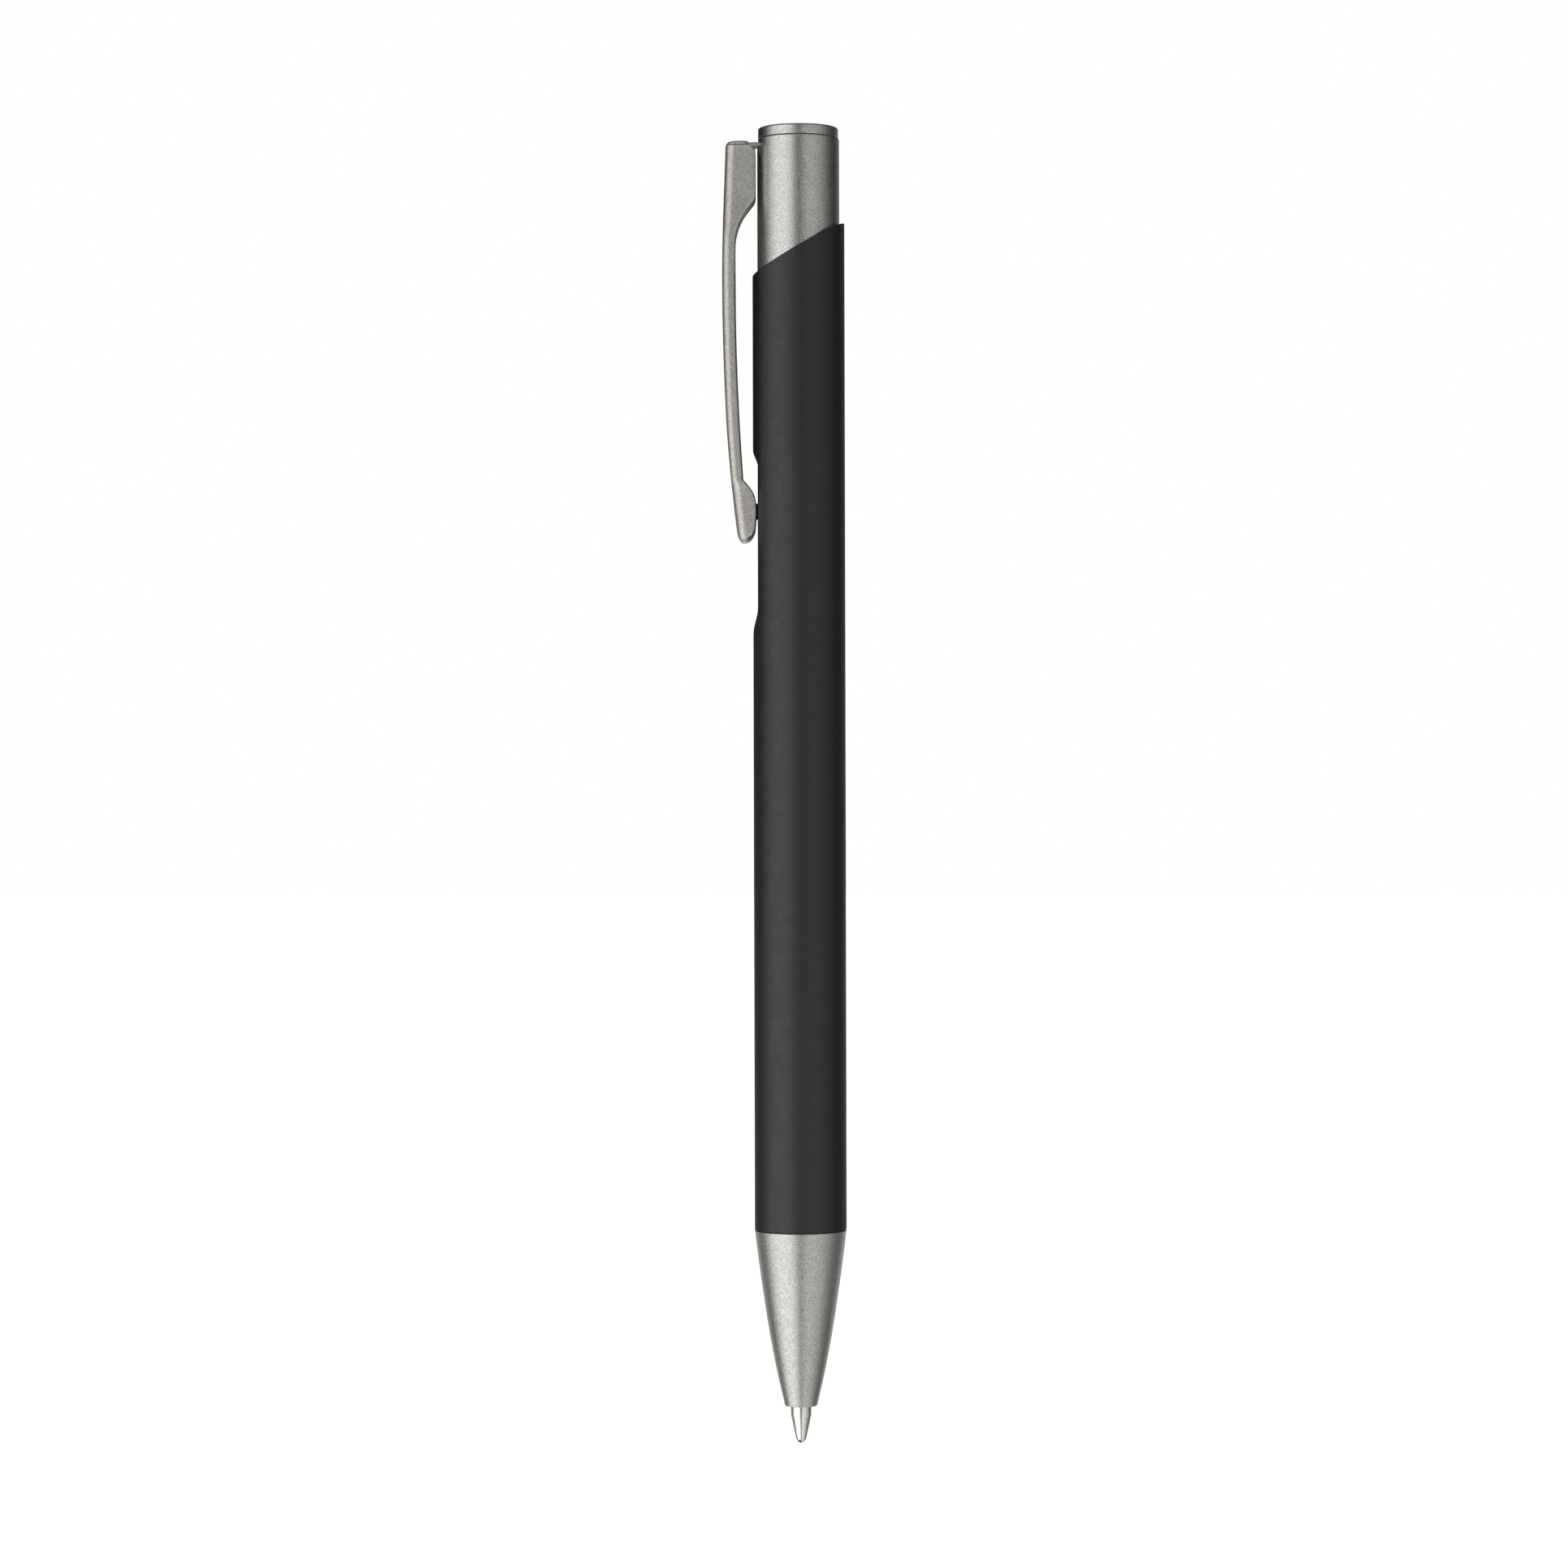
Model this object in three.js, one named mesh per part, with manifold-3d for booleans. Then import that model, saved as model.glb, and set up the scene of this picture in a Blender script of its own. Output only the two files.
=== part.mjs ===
// A retractable ballpoint pen with a metal barrel, whose upper tube, cap and clip move as one push button.
// Lengths are in millimetres. Heights h are measured up the pen's axis from the lowest point of the
// writing ball, in the writing position. The exported group is lowered by the pen's length, so that its
// origin is the middle of the cap's flat top. +Z runs up the axis and the clip is on the -X side.
import * as THREE from 'three';
import { mergeVertices } from 'three/addons/utils/BufferGeometryUtils.js';
import Module from 'manifold-3d';

const wasm = await Module();
wasm.setup();

// ---- driving dimensions -----------------------------------------------------------------------------

const PEN_LENGTH = 142.6;
const ROUND = 48;              // facets round the casings
const ROUND_SMALL = 24;        // facets round the refill and the mechanism
const FIT = 0.05;              // radial play between pieces that slide or are pressed together
const SEAM = 0.05;             // play between end faces

const BARREL_R = 5.0;
const BARREL_BORE_R = 4.5;
const BARREL_FOOT = 23.2;
const MOUTH_LOW = 126.6;       // height of the slanted mouth on the clip's side
const MOUTH_HIGH = 132.3;      // and opposite the clip
const RECESS_X = -4.47;        // flat floor of the pressed recess that the clip's ball runs in
const RECESS_WALL = 0.47;
const RECESS_FOOT = [87.5, 90.6];
const RECESS_HEAD = [105.9, 107.6];

const TUBE_R = 4.45;
const TUBE_BORE_R = 3.95;
const TUBE_FOOT = 110.0;
const TUBE_HEAD = 141.4;
const CAP_R = 4.345;
const CAP_EDGE = 0.25;
const STUD_R = 1.2;
const STUD_FOOT = 138.0;
const TRAVEL_UP = 4.3;         // from the writing position to the retracted one

const CLIP_SHEET = 0.45;
const CLIP_WIDTH = 4.4;
const CLIP_TAB_TOP = 141.15;
const CLIP_TAB_FOOT = CLIP_TAB_TOP - CLIP_SHEET;
const CLIP_NECK_HALF = 0.9;
const CLIP_NECK_X = [-5.6, -1.8];
const FLANGE_HEAD = 140.55;
const FLANGE_X = -4.62;
const NECK_PLAY = 0.1;
const NUB_R = 0.92;            // the small disc on the clip's ball that slides on the recess's floor
const NUB_FACE_X = -4.52;
const NUB_MIDDLE = 101.05;

const CONE_TIP = 4.05;
const CONE_HEAD = 23.15;
const CONE_MOUTH_R = 1.2;
const CONE_TIP_R = 1.62;
const CONE_BORE = [[1.95, 10.0], [2.6, 17.3]];   // the bore's taper above the spring's seat
const SPRING_SEAT = 7.0;
const THREAD_R = 3.5;
const THREAD_FOOT = 17.6;
const BUSH_HEAD = 32.0;
const BUSH_BORE_R = 2.4;

const BALL_R = 0.45;
const POINT_R = 1.13;
const POINT_HEAD = 9.0;
const POINT_LIP = 0.34;
const SHANK_R = 0.9;
const SHANK_HEAD = 12.0;
const INK_CHANNEL_R = 0.25;
const REFILL_HEAD = 107.0;
const REFILL_R = 1.575;
const REFILL_BORE_R = 1.15;
const COLLAR_FOOT = 25.0;
const COLLAR_HEAD = 26.3;
const COLLAR_R = 1.75;
const HOLDER_R = 1.25;
const HOLDER_HEAD = 30.0;
const HOLDER_CHANNEL_R = 0.45;
const INK_HEAD = 90.0;

const SPRING_R = 1.62;
const SPRING_WIRE_R = 0.17;
const SPRING_TURNS = 11;

const HOUSING_FOOT = 92.0;
const HOUSING_SHOULDER = 107.9;
const HOUSING_HEAD = 124.0;
const NECK_R = 3.7;
const LAND_FOOT = 112.25;      // lower end of the lands that the rotor's ribs latch under
const SLOT_HEAD = 121.0;
const SLOT_R = 2.95;
const SLOT_PLAY = 0.3;
const RIB_R = 2.75;
const RIB_WIDTH = 1.0;
const CROWN = 113.0;           // where the rotor's teeth meet the pusher's
const TOOTH_DEPTH = 0.7;
const ROTOR_FOOT = 104.5;
const ROTOR_R = 2.2;
const ROTOR_RIBS = [109.6, LAND_FOOT - SEAM];
const PUSHER_R = 2.25;
const PUSHER_RIBS = [113.85, 116.4];
const PUSHER_HEAD = 130.0;
const STEM_R = 1.6;
const RING_HEIGHT = 2.0;
const PLUG_FOOT = 126.5;

// ---- materials --------------------------------------------------------------------------------------

const paint = (color, roughness, metalness) =>
  new THREE.MeshStandardMaterial({ color, roughness, metalness });
const SILVER_LACQUER = [0x8d8f8c, 0.42, 0.75];
const BLACK_LACQUER = [0x2b2b2c, 0.62, 0.1];
const NICKEL = [0xc9c4b8, 0.2, 1.0];

// ---- solids -----------------------------------------------------------------------------------------

function toSolid(geometry) {
  geometry.deleteAttribute('normal');
  geometry.deleteAttribute('uv');
  const merged = mergeVertices(geometry, 1e-4);
  const corners = merged.index.array;
  const kept = [];
  for (let i = 0; i < corners.length; i += 3) {
    const [a, b, c] = corners.slice(i, i + 3);
    if (a !== b && b !== c && c !== a) kept.push(a, b, c);
  }
  return new wasm.Manifold(new wasm.Mesh({
    numProp: 3,
    vertProperties: new Float32Array(merged.attributes.position.array),
    triVerts: new Uint32Array(kept),
  }));
}

function toGeometry(solid) {
  const mesh = solid.getMesh();
  const geometry = new THREE.BufferGeometry();
  geometry.setAttribute('position', new THREE.BufferAttribute(mesh.vertProperties, 3));
  geometry.setIndex(new THREE.BufferAttribute(mesh.triVerts, 1));
  geometry.computeVertexNormals();
  return geometry;
}

const join = (first, ...rest) => rest.reduce((whole, piece) => whole.add(piece), first);
const cut = (first, ...rest) => rest.reduce((whole, piece) => whole.subtract(piece), first);

// A solid of revolution about the pen's axis, from [radius, height] pairs that run counter-clockwise.
function turned(profile, facets = ROUND) {
  const points = profile.map(([radius, height]) => new THREE.Vector2(radius, height));
  if (profile[0][0] > 0) points.push(points[0].clone());
  return toSolid(new THREE.LatheGeometry(points, facets).rotateX(Math.PI / 2));
}

const disc = (radius, low, high, facets) =>
  turned([[0, low], [radius, low], [radius, high], [0, high]], facets);

const pipe = (bore, radius, low, high, facets) =>
  turned([[bore, low], [radius, low], [radius, high], [bore, high]], facets);

// A side outline in [x, height], given as a THREE.Shape, made into a solid of the given width along Y.
function slab(shape, width, middle = 0) {
  const geometry = new THREE.ExtrudeGeometry(shape, { depth: width, bevelEnabled: false, curveSegments: 6 });
  return toSolid(geometry.rotateX(Math.PI / 2).translate(0, middle + width / 2, 0));
}

const polygon = (points) => new THREE.Shape(points.map(([x, h]) => new THREE.Vector2(x, h)));

const block = (x, y, h) => toSolid(
  new THREE.BoxGeometry(x[1] - x[0], y[1] - y[0], h[1] - h[0])
    .translate((x[0] + x[1]) / 2, (y[0] + y[1]) / 2, (h[0] + h[1]) / 2),
);

// Four ribs, or the four slots for them, as two crossing bars.
function cross(reach, width, low, high) {
  const half = width / 2;
  return join(
    block([-reach, reach], [-half, half], [low, high]),
    block([-half, half], [-reach, reach], [low, high]),
  );
}

// Eight saw-tooth notches in an end face at the given height; side is -1 to cut down into it, +1 to cut up.
function crownNotches(face, side) {
  const notches = [];
  const lead = 0.15;
  const width = 1.0;
  const length = 3.2;
  for (let i = 0; i < 8; i += 1) {
    const outline = polygon([
      [-lead, face - side * 0.02],
      [width, face - side * 0.02],
      [-lead, face + side * TOOTH_DEPTH],
    ]);
    const geometry = new THREE.ExtrudeGeometry(outline, { depth: length, bevelEnabled: false });
    notches.push(toSolid(geometry.rotateX(Math.PI / 2).rotateZ((i * Math.PI) / 4)));
  }
  return join(...notches);
}

// ---- barrel group -----------------------------------------------------------------------------------

// Side outline of the pressed recess, moved inwards by the wall for its inner face.
function recessOutline(inwards) {
  const rim = -BARREL_R - 0.02 + inwards;
  const floor = RECESS_X + inwards;
  const [footLow, footHigh] = RECESS_FOOT;
  const [headLow, headHigh] = RECESS_HEAD;
  const footMiddle = (footLow + footHigh) / 2;
  const headMiddle = (headLow + headHigh) / 2;
  const shape = new THREE.Shape();
  shape.moveTo(rim - 1, footLow);
  shape.lineTo(rim, footLow);
  shape.bezierCurveTo(rim, footMiddle, floor, footMiddle, floor, footHigh);
  shape.lineTo(floor, headLow);
  shape.bezierCurveTo(floor, headMiddle, rim, headMiddle, rim, headHigh);
  shape.lineTo(rim - 1, headHigh);
  return shape;
}

function barrel() {
  const over = 1;
  const slope = (MOUTH_HIGH - MOUTH_LOW) / (2 * BARREL_R);
  const aboveMouth = polygon([
    [-BARREL_R - over, MOUTH_LOW - over * slope],
    [BARREL_R + over, MOUTH_HIGH + over * slope],
    [BARREL_R + over, MOUTH_HIGH + 10],
    [-BARREL_R - over, MOUTH_HIGH + 10],
  ]);
  const outside = disc(BARREL_R, BARREL_FOOT, MOUTH_HIGH + over);
  const bore = disc(BARREL_BORE_R, BARREL_FOOT - over, MOUTH_HIGH + 2 * over);
  const hollow = cut(bore, slab(recessOutline(RECESS_WALL), 3 * BARREL_R));
  return cut(outside, slab(recessOutline(0), 3 * BARREL_R), hollow, slab(aboveMouth, 3 * BARREL_R));
}

function threadBush() {
  const chamfer = 0.4;
  return turned([
    [BUSH_BORE_R, THREAD_FOOT],
    [THREAD_R - chamfer, THREAD_FOOT],
    [THREAD_R, THREAD_FOOT + chamfer],
    [THREAD_R, BARREL_FOOT + SEAM],
    [BARREL_BORE_R - FIT, BARREL_FOOT + SEAM],
    [BARREL_BORE_R - FIT, BUSH_HEAD],
    [BUSH_BORE_R, BUSH_HEAD],
  ]);
}

function camHousing() {
  const flatX = RECESS_X + RECESS_WALL + 2 * FIT;
  const beadFoot = TUBE_FOOT + RING_HEIGHT + TRAVEL_UP + 0.2;
  const beadR = TUBE_BORE_R - 2 * FIT;
  const outside = turned([
    [0, HOUSING_FOOT],
    [BARREL_BORE_R - FIT, HOUSING_FOOT],
    [BARREL_BORE_R - FIT, HOUSING_SHOULDER],
    [NECK_R, HOUSING_SHOULDER],
    [NECK_R, beadFoot],
    [beadR, beadFoot + 0.2],
    [beadR, beadFoot + 0.8],
    [NECK_R, beadFoot + 1.2],
    [NECK_R, HOUSING_HEAD],
    [0, HOUSING_HEAD],
  ]);
  const flat = block([-2 * BARREL_R, flatX], [-BARREL_R, BARREL_R], [HOUSING_FOOT - 1, HOUSING_SHOULDER]);
  const landR = PUSHER_R + 2 * FIT;
  const slots = cross(SLOT_R + 1, RIB_WIDTH + SLOT_PLAY, LAND_FOOT - 1, SLOT_HEAD);
  return cut(
    outside,
    flat,
    disc(SLOT_R, HOUSING_FOOT - 1, LAND_FOOT, ROUND_SMALL),
    disc(landR, LAND_FOOT - 1, SLOT_HEAD, ROUND_SMALL),
    disc(STEM_R + 3 * FIT, SLOT_HEAD - 1, HOUSING_HEAD + 1, ROUND_SMALL),
    disc(SLOT_R, LAND_FOOT - 1, SLOT_HEAD, ROUND_SMALL).intersect(slots),
  );
}

// ---- nose cone --------------------------------------------------------------------------------------

function noseCone() {
  const side = new THREE.SplineCurve([
    [1.80, CONE_TIP + 0.2],
    [2.405, 6.81],
    [3.275, 11.2],
    [4.115, 16.5],
    [4.83, 21.8],
    [4.985, CONE_HEAD - 0.1],
  ].map(([radius, height]) => new THREE.Vector2(radius, height)));
  const outside = side.getPoints(8).map((point) => [point.x, point.y]);
  const [lowerBore, upperBore] = CONE_BORE;
  return turned([
    [CONE_MOUTH_R, CONE_TIP],
    [CONE_TIP_R, CONE_TIP],
    ...outside,
    [4.9, CONE_HEAD],
    [THREAD_R + 2 * FIT, CONE_HEAD],
    [THREAD_R + 2 * FIT, upperBore[1]],
    upperBore,
    lowerBore,
    [lowerBore[0], SPRING_SEAT],
    [CONE_MOUTH_R, SPRING_SEAT],
  ]);
}

// ---- push button: tube, cap, plug, clip, pusher -----------------------------------------------------

// The slot that the clip's neck lies in, below its underside by the given depth.
const neckSlot = (x, depth) => block(
  x,
  [-CLIP_NECK_HALF - NECK_PLAY, CLIP_NECK_HALF + NECK_PLAY],
  [CLIP_TAB_FOOT - depth, TUBE_HEAD + 1],
);

const plungerTube = () => cut(
  pipe(TUBE_BORE_R, TUBE_R, TUBE_FOOT, TUBE_HEAD),
  neckSlot([-TUBE_R - 1, 0], 0.25),
);

const plungerCap = () => turned([
  [0, STUD_FOOT],
  [STUD_R, STUD_FOOT],
  [STUD_R, TUBE_HEAD + SEAM / 2],
  [CAP_R, TUBE_HEAD + SEAM / 2],
  [CAP_R, PEN_LENGTH - CAP_EDGE],
  [CAP_R - CAP_EDGE / 3, PEN_LENGTH - CAP_EDGE / 3],
  [CAP_R - CAP_EDGE, PEN_LENGTH],
  [0, PEN_LENGTH],
]);

const plungerPlug = () => cut(
  disc(TUBE_BORE_R - FIT, PLUG_FOOT, CLIP_TAB_TOP),
  disc(STUD_R + FIT, STUD_FOOT - 2 * FIT, CLIP_TAB_TOP + 1),
  disc(STEM_R + FIT, PLUG_FOOT - 1, PUSHER_HEAD + SEAM, ROUND_SMALL),
  neckSlot([-TUBE_R, CLIP_NECK_X[1] + NECK_PLAY], 0.5),
);

const retainingRing = () =>
  pipe(NECK_R + FIT + 0.01, TUBE_BORE_R - 0.03, TUBE_FOOT + SEAM, TUBE_FOOT + RING_HEIGHT);

function contactNub() {
  const edge = 0.15;
  const outline = [[0, -0.4], [NUB_R, -0.4], [NUB_R, -edge], [NUB_R - edge, 0], [0, 0]];
  const points = outline.map(([radius, depth]) => new THREE.Vector2(radius, depth));
  const geometry = new THREE.LatheGeometry(points, ROUND_SMALL);
  return toSolid(geometry.rotateZ(-Math.PI / 2).translate(NUB_FACE_X, 0, NUB_MIDDLE));
}

// The clip's back edge runs in a gentle bow; the flanges reach in towards the tube near the top; the
// lower end closes into a rounded ball, whose nub touches the floor of the recess.
const clipBack = new THREE.SplineCurve([
  [-6.62, 98.1], [-7.61, 107.3], [-8.14, 117.9], [-8.25, 128.0], [-7.88, 140.3],
].map(([x, h]) => new THREE.Vector2(x, h)));

function clip() {
  const back = clipBack.getPoints(14);
  const corner = 0.6;
  const cornerX = -7.84;
  const tabEnd = -5.5;
  const spine = new THREE.Shape(back);
  spine.lineTo(-7.86, CLIP_TAB_TOP - corner);
  spine.quadraticCurveTo(cornerX, CLIP_TAB_TOP, cornerX + corner, CLIP_TAB_TOP);
  spine.lineTo(tabEnd, CLIP_TAB_TOP);
  spine.lineTo(tabEnd, CLIP_TAB_FOOT);
  spine.lineTo(cornerX + CLIP_SHEET, CLIP_TAB_FOOT);
  [...back].reverse().forEach((point) => spine.lineTo(point.x + CLIP_SHEET, point.y));

  const flangeCorner = 0.5;
  const flange = new THREE.Shape();
  flange.moveTo(-7.7, FLANGE_HEAD);
  flange.lineTo(FLANGE_X - flangeCorner, FLANGE_HEAD);
  flange.quadraticCurveTo(FLANGE_X, FLANGE_HEAD, FLANGE_X, FLANGE_HEAD - flangeCorner);
  flange.lineTo(FLANGE_X, 135.0);
  flange.bezierCurveTo(-4.9, 133.6, -6.8, 133.2, -6.83, 129.2);
  flange.splineThru([[-6.78, 120.7], [-6.46, 112.0], [-6.0, 104.2], [-6.4, 103.0]]
    .map(([x, h]) => new THREE.Vector2(x, h)));
  clipBack.getPoints(14).filter((point) => point.y > 103.5 && point.y < 140)
    .forEach((point) => flange.lineTo(point.x + CLIP_SHEET / 2, point.y));

  const ball = new THREE.Shape();
  ball.moveTo(-7.2, 104.5);
  ball.lineTo(-6.0, 104.3);
  ball.bezierCurveTo(-5.5, 103.5, -4.62, 102.8, -4.62, 101.0);
  ball.bezierCurveTo(-4.62, 99.1, -4.75, 97.45, -5.85, 97.45);
  ball.bezierCurveTo(-6.4, 97.45, -6.55, 97.7, -6.6, 98.1);
  ball.lineTo(-6.95, 101);

  const neck = block(CLIP_NECK_X, [-CLIP_NECK_HALF, CLIP_NECK_HALF], [CLIP_TAB_FOOT, CLIP_TAB_TOP]);
  const gussetTop = CLIP_TAB_FOOT + 0.1;
  const gussetFoot = CLIP_TAB_FOOT - 0.6;
  const gusset = slab(
    polygon([[-5.2, gussetTop], [-4.75, gussetFoot], [-4.56, gussetFoot], [-4.56, gussetTop]]),
    CLIP_SHEET,
  );
  const side = (CLIP_WIDTH - CLIP_SHEET) / 2;
  return join(
    slab(spine, CLIP_WIDTH),
    slab(flange, CLIP_SHEET, -side),
    slab(flange, CLIP_SHEET, side),
    slab(ball, CLIP_WIDTH - 0.02),
    neck,
    gusset,
    contactNub(),
  );
}

// Four ribs that reach out of a round body to the slots of the housing.
const ribs = (heights) =>
  cross(RIB_R, RIB_WIDTH, ...heights).intersect(disc(RIB_R, ...heights, ROUND_SMALL));

function camPusher() {
  const face = CROWN + FIT;
  const body = join(
    disc(PUSHER_R, face, PUSHER_RIBS[1], ROUND_SMALL),
    disc(STEM_R, PUSHER_RIBS[1] - 0.5, PUSHER_HEAD, ROUND_SMALL),
    ribs(PUSHER_RIBS),
  );
  return cut(body, crownNotches(face, 1));
}

// ---- refill -----------------------------------------------------------------------------------------

const camRotor = () => cut(
  join(disc(ROTOR_R, ROTOR_FOOT, CROWN, ROUND_SMALL), ribs(ROTOR_RIBS)),
  disc(REFILL_R + FIT, ROTOR_FOOT - 1, REFILL_HEAD + SEAM, ROUND_SMALL),
  crownNotches(CROWN, -1),
);

const refillTube = () => pipe(REFILL_BORE_R, REFILL_R, COLLAR_HEAD + SEAM, REFILL_HEAD, ROUND_SMALL);
const inkColumn = () => disc(REFILL_BORE_R - FIT, HOLDER_HEAD + 2 * SEAM, INK_HEAD, ROUND_SMALL);

const tipHolder = () => turned([
  [SHANK_R + FIT, POINT_HEAD + SEAM],
  [HOLDER_R, POINT_HEAD + SEAM],
  [HOLDER_R, COLLAR_FOOT],
  [COLLAR_R, COLLAR_FOOT],
  [COLLAR_R, COLLAR_HEAD],
  [REFILL_BORE_R - FIT, COLLAR_HEAD],
  [REFILL_BORE_R - FIT, HOLDER_HEAD],
  [HOLDER_CHANNEL_R, HOLDER_HEAD],
  [HOLDER_CHANNEL_R, SHANK_HEAD + SEAM],
  [SHANK_R + FIT, SHANK_HEAD + SEAM],
], ROUND_SMALL);

function writingPoint() {
  const socketR = BALL_R + 0.03;
  const profile = [
    [0.5, POINT_LIP],
    [0.56, 0.5],
    [0.64, 0.8],
    [0.8, 1.52],
    [1.0, 2.4],
    [POINT_R, 2.8],
    [POINT_R, POINT_HEAD],
    [SHANK_R, POINT_HEAD],
    [SHANK_R, SHANK_HEAD],
    [INK_CHANNEL_R, SHANK_HEAD],
  ];
  const first = Math.acos(INK_CHANNEL_R / socketR);
  const last = Math.asin((POINT_LIP - BALL_R) / socketR);
  for (let i = 0; i <= 4; i += 1) {
    const angle = first + ((last - first) * i) / 4;
    profile.push([socketR * Math.cos(angle), BALL_R + socketR * Math.sin(angle)]);
  }
  return turned(profile, ROUND_SMALL);
}

const writingBall = () => toSolid(
  new THREE.SphereGeometry(BALL_R, ROUND_SMALL, 12).rotateX(Math.PI / 2).translate(0, 0, BALL_R),
);

class Helix extends THREE.Curve {
  getPoint(t) {
    const angle = t * SPRING_TURNS * 2 * Math.PI;
    const low = SPRING_SEAT + SEAM + SPRING_WIRE_R;
    const high = COLLAR_FOOT - SEAM - SPRING_WIRE_R;
    return new THREE.Vector3(SPRING_R * Math.cos(angle), SPRING_R * Math.sin(angle), low + (high - low) * t);
  }
}

function returnSpring() {
  const section = new THREE.Shape();
  section.absarc(0, 0, SPRING_WIRE_R, 0, 2 * Math.PI);
  return toSolid(new THREE.ExtrudeGeometry(section, {
    extrudePath: new Helix(), steps: SPRING_TURNS * 10, curveSegments: 3, bevelEnabled: false,
  }));
}

// ---- the pen ----------------------------------------------------------------------------------------

const pieces = [
  ['barrel', barrel, paint(...BLACK_LACQUER)],
  ['thread_bush', threadBush, paint(0xb9a25a, 0.35, 1.0)],
  ['cam_housing', camHousing, paint(0xe8e6df, 0.5, 0.0)],
  ['nose_cone', noseCone, paint(...SILVER_LACQUER)],
  ['plunger_tube', plungerTube, paint(...SILVER_LACQUER)],
  ['plunger_cap', plungerCap, paint(...SILVER_LACQUER)],
  ['plunger_plug', plungerPlug, paint(0x2a2a2c, 0.55, 0.0)],
  ['retaining_ring', retainingRing, paint(0xe8e6df, 0.5, 0.0)],
  ['clip', clip, paint(...SILVER_LACQUER)],
  ['cam_pusher', camPusher, paint(0xd9e2e8, 0.45, 0.0)],
  ['cam_rotor', camRotor, paint(0x3f6fae, 0.45, 0.0)],
  ['return_spring', returnSpring, paint(0xb4b6b8, 0.25, 1.0)],
  ['refill_tube', refillTube, paint(0xe6e9ea, 0.3, 0.0)],
  ['ink_column', inkColumn, paint(0x14182c, 0.25, 0.0)],
  ['tip_holder', tipHolder, paint(0xf0f1ee, 0.4, 0.0)],
  ['writing_point', writingPoint, paint(...NICKEL)],
  ['writing_ball', writingBall, paint(0x55575a, 0.15, 1.0)],
];

const pen = new THREE.Group();
pen.position.z = -PEN_LENGTH;
for (const [name, make, material] of pieces) {
  const mesh = new THREE.Mesh(toGeometry(make()), material);
  mesh.name = name;
  pen.add(mesh);
}

export default pen;
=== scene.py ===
"""Looks of a retractable ballpoint pen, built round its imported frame.

Sizes are in millimetres and heights h run up the pen's axis from the lowest point of the writing ball;
mesh_object() turns them into metres in the frame's own coordinates. The clip is on the -X side.
"""

import math

import bmesh
import bpy
import numpy as np
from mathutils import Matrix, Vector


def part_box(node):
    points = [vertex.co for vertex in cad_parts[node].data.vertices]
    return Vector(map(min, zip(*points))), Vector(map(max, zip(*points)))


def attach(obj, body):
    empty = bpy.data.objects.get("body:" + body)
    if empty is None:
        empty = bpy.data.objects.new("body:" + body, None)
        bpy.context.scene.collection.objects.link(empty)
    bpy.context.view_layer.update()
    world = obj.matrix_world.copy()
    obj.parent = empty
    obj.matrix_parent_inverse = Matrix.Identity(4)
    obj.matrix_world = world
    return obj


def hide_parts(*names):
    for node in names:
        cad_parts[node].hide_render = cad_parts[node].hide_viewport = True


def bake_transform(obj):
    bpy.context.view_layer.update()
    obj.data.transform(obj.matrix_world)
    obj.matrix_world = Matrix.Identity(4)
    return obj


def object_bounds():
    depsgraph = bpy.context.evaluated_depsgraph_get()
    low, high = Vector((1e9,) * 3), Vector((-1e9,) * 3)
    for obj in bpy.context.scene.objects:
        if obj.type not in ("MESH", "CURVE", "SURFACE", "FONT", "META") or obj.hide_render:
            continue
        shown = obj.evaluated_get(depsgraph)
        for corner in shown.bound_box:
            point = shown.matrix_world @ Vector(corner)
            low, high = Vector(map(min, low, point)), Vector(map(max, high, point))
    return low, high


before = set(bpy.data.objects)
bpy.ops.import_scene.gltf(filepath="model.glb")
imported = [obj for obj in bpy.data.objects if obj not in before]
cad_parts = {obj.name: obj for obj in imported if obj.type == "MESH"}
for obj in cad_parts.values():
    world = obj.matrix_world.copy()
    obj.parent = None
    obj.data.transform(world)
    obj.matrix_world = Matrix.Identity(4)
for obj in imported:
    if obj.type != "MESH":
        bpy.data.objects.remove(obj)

MM = 0.001
scene = bpy.context.scene
cad_low, cad_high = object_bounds()
TIP = cad_low.z


def span(node):
    """Lowest and highest height of a CAD node."""
    low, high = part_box(node)
    return (low.z - TIP) / MM, (high.z - TIP) / MM


def radius_of(node):
    """Half of a CAD node's size across the clip."""
    low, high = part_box(node)
    return (high.y - low.y) / 2 / MM


# ---- sizes --------------------------------------------------------------------------------------------

WALL = 0.5  # of the barrel and of the tube
BARREL_FOOT, MOUTH_HIGH = span("barrel")
BARREL_R = radius_of("barrel")
BARREL_BORE_R = BARREL_R - WALL
MOUTH_LOW = MOUTH_HIGH - 5.7
RECESS_FLOOR = -4.47  # x of its outer face
RECESS_WALL = 0.47
RECESS_FOOT = (87.5, 90.6)
RECESS_HEAD = (106.05, 107.85)
ROUND_ABOVE = 109  # a height over the recess

TUBE_FOOT, TUBE_HEAD = span("plunger_tube")
TUBE_R = radius_of("plunger_tube")
TUBE_BORE_R = TUBE_R - WALL
CAP_FOOT, CAP_HEAD = span("plunger_cap")
CAP_R = radius_of("plunger_cap")

CONE_TIP, CONE_HEAD = span("nose_cone")
CONE_R = radius_of("nose_cone")
SPRING_SEAT = 7.0
THREAD_FOOT, BUSH_HEAD = span("thread_bush")
THREAD_R = 3.5
THREAD_PITCH = 0.75
THREAD_DEPTH = 0.26

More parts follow.
